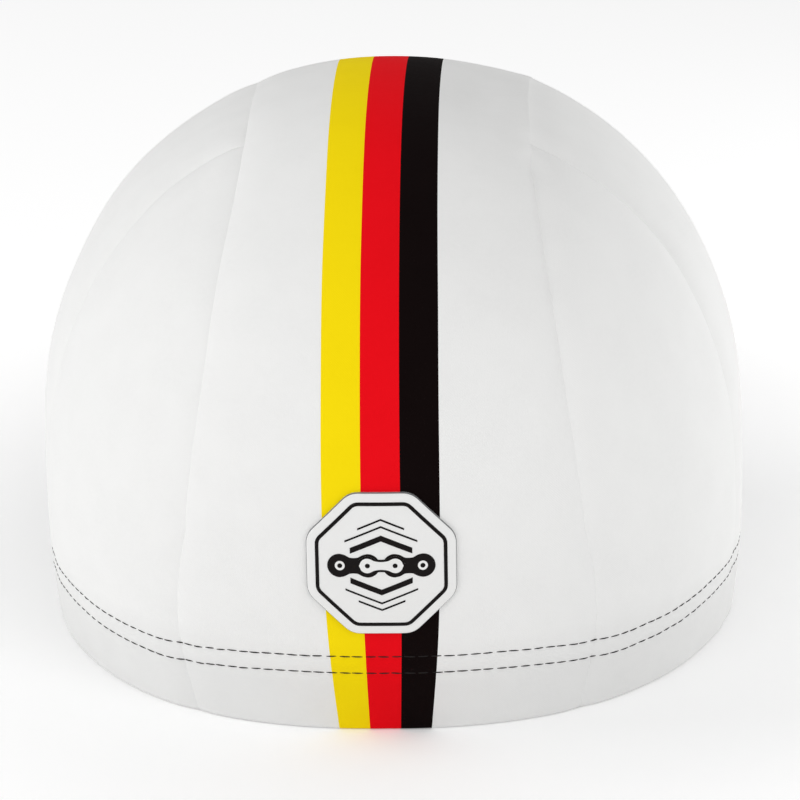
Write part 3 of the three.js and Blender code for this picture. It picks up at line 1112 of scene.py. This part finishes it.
def surfaceTree(pieces):
    # one search tree over the finished surfaces of some pieces
    points, polygons = [], []
    for piece in pieces:
        start = len(points)
        points += [vertex.co.copy() for vertex in piece.data.vertices]
        polygons += [[start + i for i in polygon.vertices] for polygon in piece.data.polygons]
    return BVHTree.FromPolygons(points, polygons)


def layPath(tree, guides, sink):
    # moves guide points, which run just off the cloth, on to it
    places, normals = [], []
    for guide in guides * mm:
        place, normal = tree.find_nearest(Vector(guide))[:2]
        if normal.dot(Vector(guide) - place) < 0:
            normal = -normal
        places.append(place - normal * (sink * mm))
        normals.append(normal)
    return np.array(places), np.array(normals)


def stitchNodes(finish):
    # dashes of thread along a path, each bowed so that its ends dip into the cloth
    tree = bpy.data.node_groups.new("stitchRow", "GeometryNodeTree")
    face = tree.interface
    face.new_socket("Path", in_out="INPUT", socket_type="NodeSocketGeometry")
    sockets = {}
    for name in ("Pitch", "Length", "Radius", "Bow", "Seed"):
        kind = "NodeSocketInt" if name == "Seed" else "NodeSocketFloat"
        sockets[name] = face.new_socket(name, in_out="INPUT", socket_type=kind).identifier
    face.new_socket("Stitches", in_out="OUTPUT", socket_type="NodeSocketGeometry")
    given = addNode(tree, "NodeGroupInput").outputs
    curve = addNode(tree, "GeometryNodeMeshToCurve", {"Mesh": given["Path"]})
    dots = addNode(
        tree,
        "GeometryNodeResampleCurve",
        {"Curve": curve.outputs[0], "Length": given["Pitch"]},
        mode="LENGTH",
    )
    half = addNode(tree, "ShaderNodeMath", {0: given["Length"], 1: 0.5}, operation="MULTIPLY")
    back = addNode(tree, "ShaderNodeMath", {0: half.outputs[0], 1: -1.0}, operation="MULTIPLY")
    ends = [addNode(tree, "ShaderNodeCombineXYZ", {"Z": z.outputs[0]}) for z in (back, half)]
    line = addNode(
        tree, "GeometryNodeCurvePrimitiveLine", {"Start": ends[0].outputs[0], "End": ends[1].outputs[0]}
    )
    fine = addNode(
        tree,
        "GeometryNodeResampleCurve",
        {"Curve": line.outputs[0], "Count": thread["points"]},
        mode="COUNT",
    )
    share = addNode(tree, "GeometryNodeSplineParameter")
    fromMiddle = addNode(
        tree, "ShaderNodeMath", {0: share.outputs["Factor"], 1: 2.0, 2: -1.0}, operation="MULTIPLY_ADD"
    )
    squared = addNode(tree, "ShaderNodeMath", {0: fromMiddle.outputs[0], 1: 2.0}, operation="POWER")
    drop = addNode(tree, "ShaderNodeMath", {0: squared.outputs[0], 1: given["Bow"]}, operation="MULTIPLY")
    lowered = addNode(tree, "ShaderNodeMath", {0: drop.outputs[0], 1: -1.0}, operation="MULTIPLY")
    offset = addNode(tree, "ShaderNodeCombineXYZ", {"X": lowered.outputs[0]})
    bowed = addNode(
        tree, "GeometryNodeSetPosition", {"Geometry": fine.outputs[0], "Offset": offset.outputs[0]}
    )
    ring = addNode(
        tree, "GeometryNodeCurvePrimitiveCircle", {"Resolution": thread["sides"], "Radius": given["Radius"]}
    )
    spindle = addNode(
        tree,
        "GeometryNodeCurveToMesh",
        {"Curve": bowed.outputs[0], "Profile Curve": ring.outputs[0], "Fill Caps": True},
    )
    up = addNode(tree, "GeometryNodeInputNamedAttribute", {"Name": "up"}, data_type="FLOAT_VECTOR")
    tangent = addNode(tree, "GeometryNodeInputTangent")
    sway = addNode(
        tree,
        "FunctionNodeRandomValue",
        {"Min": [-most for most in thread["sway"]], "Max": thread["sway"], "Seed": given["Seed"]},
        data_type="FLOAT_VECTOR",
    )
    aim = addNode(tree, "ShaderNodeVectorMath", {0: tangent.outputs[0], 1: sway.outputs[0]}, operation="ADD")
    turn = addNode(
        tree,
        "FunctionNodeAxesToRotation",
        {"Primary Axis": aim.outputs[0], "Secondary Axis": up.outputs["Attribute"]},
        primary_axis="Z",
        secondary_axis="X",
    )
    size = addNode(
        tree,
        "FunctionNodeRandomValue",
        {"Min": thread["smallest"], "Max": thread["largest"], "Seed": given["Seed"]},
        data_type="FLOAT_VECTOR",
    )
    laid = addNode(
        tree,
        "GeometryNodeInstanceOnPoints",
        {
            "Points": dots.outputs[0],
            "Instance": spindle.outputs[0],
            "Rotation": turn.outputs[0],
            "Scale": size.outputs[0],
        },
    )
    solid = addNode(tree, "GeometryNodeRealizeInstances", {"Geometry": laid.outputs[0]})
    smooth = addNode(
        tree, "GeometryNodeSetShadeSmooth", {"Geometry": solid.outputs[0], "Shade Smooth": True}
    )
    painted = addNode(
        tree, "GeometryNodeSetMaterial", {"Geometry": smooth.outputs[0], "Material": finish}
    )
    addNode(tree, "NodeGroupOutput", {"Stitches": painted.outputs[0]})
    return tree, sockets


def makeStitches(name, paths, sizes, finish):
    # paths are rows of places and cloth normals, in metres
    mesh = bpy.data.meshes.new(name)
    places, edges, normals = [], [], []
    for path, up, isLoop in paths:
        start = len(places)
        places += path.tolist()
        normals += up.tolist()
        edges += [(start + i, start + i + 1) for i in range(len(path) - 1)]
        if isLoop:
            edges.append((start + len(path) - 1, start))
    mesh.from_pydata(places, edges, [])
    layer = mesh.attributes.new("up", "FLOAT_VECTOR", "POINT")
    layer.data.foreach_set("vector", np.array(normals, np.float32).ravel())
    piece = bpy.data.objects.new(name, mesh)
    bpy.context.scene.collection.objects.link(piece)
    tree, sockets = stitchNodes(finish)
    modifier = piece.modifiers.new("stitchRow", "NODES")
    modifier.node_group = tree
    for socketName in ("Pitch", "Length", "Radius", "Bow"):
        modifier[sockets[socketName]] = sizes[socketName.lower()] * mm
    modifier[sockets["Seed"]] = sizes["seed"]
    made = bpy.data.meshes.new_from_object(piece.evaluated_get(bpy.context.evaluated_depsgraph_get()))
    piece.modifiers.clear()
    piece.data = made
    made.name = name
    return piece


def hemGuides(height, inset):
    # a ring along one stitch row, just off the cloth
    turn = allAround(hemStitch["guidePoints"])
    ring = np.stack([np.sin(turn), np.cos(turn), np.full(turn.shape, height)], -1)
    ring[:, 2] += rowRise(ring)
    return settle(crownToward(ring, inset))


def peakGuides(inset, height):
    # a row that keeps its distance from the free edge
    x = crowdEnds(peakStitch["guidePoints"]) * peak["halfWidth"]
    y = peakEdge(x)
    along = np.stack([np.gradient(x), np.gradient(y)], -1)
    along /= np.linalg.norm(along, axis=-1, keepdims=True)
    moved = np.stack([x, y], -1) + inset * np.stack([-along[:, 1], along[:, 0]], -1)
    origin = np.stack([moved[:, 0], 0 * x, np.full(x.shape, height)], -1)
    root = meetCrown(origin, np.array([0, -1.0, 0]), -peak["gap"])[:, 1]
    onPeak = np.abs(moved[:, 0]) < peak["halfWidth"] - inset
    keep = onPeak & (moved[:, 1] < root - peakStitch["toHem"])
    moved, root = moved[keep], root[keep]
    row = (moved[:, 1] - root) / (peakEdge(moved[:, 0]) - root)
    return peakPoints(moved[:, 0], row, np.full(row.shape, height))


headBand = makeHeadBand()
peakCover = makePeak()
rearBadge = makeBadge()
emblemPieces = makeEmblem()
print("band, peak and badge made")

crownTree = surfaceTree(panels)
bandTree = surfaceTree([headBand])
peakTree = surfaceTree([peakCover])
outsideRows, insideRows, peakRows = [], [], []
for row in hem["rows"]:
    outsideGuide, insideGuide = (hemGuides(row, hemStitch[key]) for key in ("outsideInset", "insideInset"))
    outsideRows.append((*layPath(crownTree, outsideGuide, hemStitch["sink"]), True))
    insideRows.append((*layPath(bandTree, insideGuide, hemStitch["sink"]), True))
for inset in peakStitch["insets"]:
    for height in (peak["wall"] + peakStitch["guideLift"], -peakStitch["guideLift"]):
        peakRows.append((*layPath(peakTree, peakGuides(inset, height), peakStitch["sink"]), False))
hemThread = makeStitches("hemStitches", outsideRows, hemStitch, finishes["blackThread"])
bandThread = makeStitches("bandStitches", insideRows, hemStitch, finishes["blackThread"])
peakThread = makeStitches("peakStitches", peakRows, peakStitch, finishes["whiteThread"])
print("stitches made:", [len(piece.data.polygons) for piece in (hemThread, bandThread, peakThread)])

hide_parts("head_band")
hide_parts("peak")
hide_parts("rear_badge")
for slotName, pieces in (
    ("band_cotton", [headBand, bandThread]),
    ("white_cotton", [peakCover, peakThread, hemThread]),
    ("badge_twill", [rearBadge] + emblemPieces),
):
    for piece in pieces:
        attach(piece, "root")

# Camera: the photo's angle, from behind and a little above
shot = {
    "azimuth": -1.98,
    "elevation": 17.76,
    "roll": 0.97,
    "distance": 989.5,
    "lens": 175.6,
    "sensor": 36.0,
    "nearest": 50.0,
    "aim": (-1.6, 0, 52.9),
}


def wayTo(azimuth, elevation):
    # direction from the cap. Azimuth 0 is behind it and 90 the picture's left.
    turn, tilt = math.radians(azimuth), math.radians(elevation)
    return Vector((math.sin(turn) * math.cos(tilt), math.cos(turn) * math.cos(tilt), math.sin(tilt)))


def makeCamera():
    turn = math.radians(shot["azimuth"])
    back = wayTo(shot["azimuth"], shot["elevation"])
    right = Vector((-math.cos(turn), math.sin(turn), 0))
    up = back.cross(right)
    aim = Vector(shot["aim"]) + Vector((0, crown["middle"], 0))
    axes = Matrix((right, up, back)).transposed().to_4x4()
    camera = bpy.data.objects.new("camera", bpy.data.cameras.new("camera"))
    bpy.context.scene.collection.objects.link(camera)
    place = Matrix.Translation((aim + back * shot["distance"]) * mm)
    camera.matrix_world = place @ axes @ Matrix.Rotation(math.radians(-shot["roll"]), 4, "Z")
    camera.data.lens = shot["lens"]
    camera.data.sensor_width = shot["sensor"]
    camera.data.clip_start = shot["nearest"] * mm
    bpy.context.scene.camera = camera


def makeLight(light):
    way = wayTo(light["azimuth"], light["elevation"])
    lamp = bpy.data.lights.new(light["name"], "AREA")
    lamp.shape = "RECTANGLE"
    lamp.size, lamp.size_y = light["size"]
    lamp.energy = light["brightness"] * (math.pi * light["away"]) ** 2
    holder = bpy.data.objects.new(light["name"], lamp)
    bpy.context.scene.collection.objects.link(holder)
    holder.location = Vector((0, 0, studio["lightAim"])) + way * light["away"]
    holder.rotation_mode = "QUATERNION"
    holder.rotation_quaternion = (-way).to_track_quat("-Z", "Y")
    holder.visible_camera = False


# Sizes in metres. Brightness is what a white wall that faces the light gets.
studio = {
    "sky": 0.43,
    "floorReach": 6.0,
    "lightAim": 0.07,
    "paintedShadowScale": (1.2, 0.85, 1.0),  # makes the outline of the floor's painted shadow round
    # the floor glows less near the cap: a painted contact shadow that fades out between these reaches
    "paintedShadowFrom": 0.1,
    "paintedShadowTo": 0.24,
    "glowInPaintedShadow": 0.16,
    "glowFar": 0.36,
    "lightColumns": ("name", "azimuth", "elevation", "away", "size", "brightness"),
    "lights": (
        ("keyLight", 94, 20, 1.8, (1.1, 0.8), 0.265),
        ("topLight", 350, 62, 1.8, (1.3, 1.0), 0.245),
        ("fillLight", 42, 8, 1.8, (0.9, 0.4), 0.1),
        ("sideLight", 316, 20, 1.8, (0.9, 0.6), 0.1),
        ("lowLight", 240, -2, 0.6, (0.4, 0.06), 0.285),
    ),
}


def floorFinish():
    # matte white light table that glows, and glows less where the cap stands: a painted contact shadow
    material = plainFinish("whiteLightTable", "#F2F2F2", 0.9, specular=0.0)
    tree = material.node_tree
    shader = tree.nodes["Principled BSDF"]
    shader.inputs["Emission Color"].default_value = linear("#FFFFFF")
    space = addNode(tree, "ShaderNodeTexCoord")
    flat = addNode(
        tree,
        "ShaderNodeVectorMath",
        {0: space.outputs["Object"], 1: studio["paintedShadowScale"]},
        operation="MULTIPLY",
    )
    away = addNode(tree, "ShaderNodeVectorMath", {0: flat.outputs[0]}, operation="LENGTH")
    glow = addNode(
        tree,
        "ShaderNodeMapRange",
        {
            "Value": away.outputs["Value"],
            "From Min": studio["paintedShadowFrom"],
            "From Max": studio["paintedShadowTo"],
            "To Min": studio["glowInPaintedShadow"],
            "To Max": studio["glowFar"],
        },
        interpolation_type="SMOOTHSTEP",
    )
    tree.links.new(glow.outputs[0], shader.inputs["Emission Strength"])
    return material


def makeStudio():
    reach = studio["floorReach"]
    corners = [(-reach, -reach, 0), (reach, -reach, 0), (reach, reach, 0), (-reach, reach, 0)]
    floorMesh = bpy.data.meshes.new("floor")
    floorMesh.from_pydata(corners, [], [(0, 1, 2, 3)])
    floorMesh.materials.append(floorFinish())
    floor = bpy.data.objects.new("floor", floorMesh)
    bpy.context.scene.collection.objects.link(floor)
    world = bpy.data.worlds.new("studio")
    world.use_nodes = True
    sky = world.node_tree.nodes["Background"]
    sky.inputs["Color"].default_value = linear("#FFFFFF")
    sky.inputs["Strength"].default_value = studio["sky"]
    bpy.context.scene.world = world
    for row in studio["lights"]:
        makeLight(dict(zip(studio["lightColumns"], row)))
    bpy.context.scene.view_settings.view_transform = "Standard"


makeCamera()
makeStudio()
print("studio made")
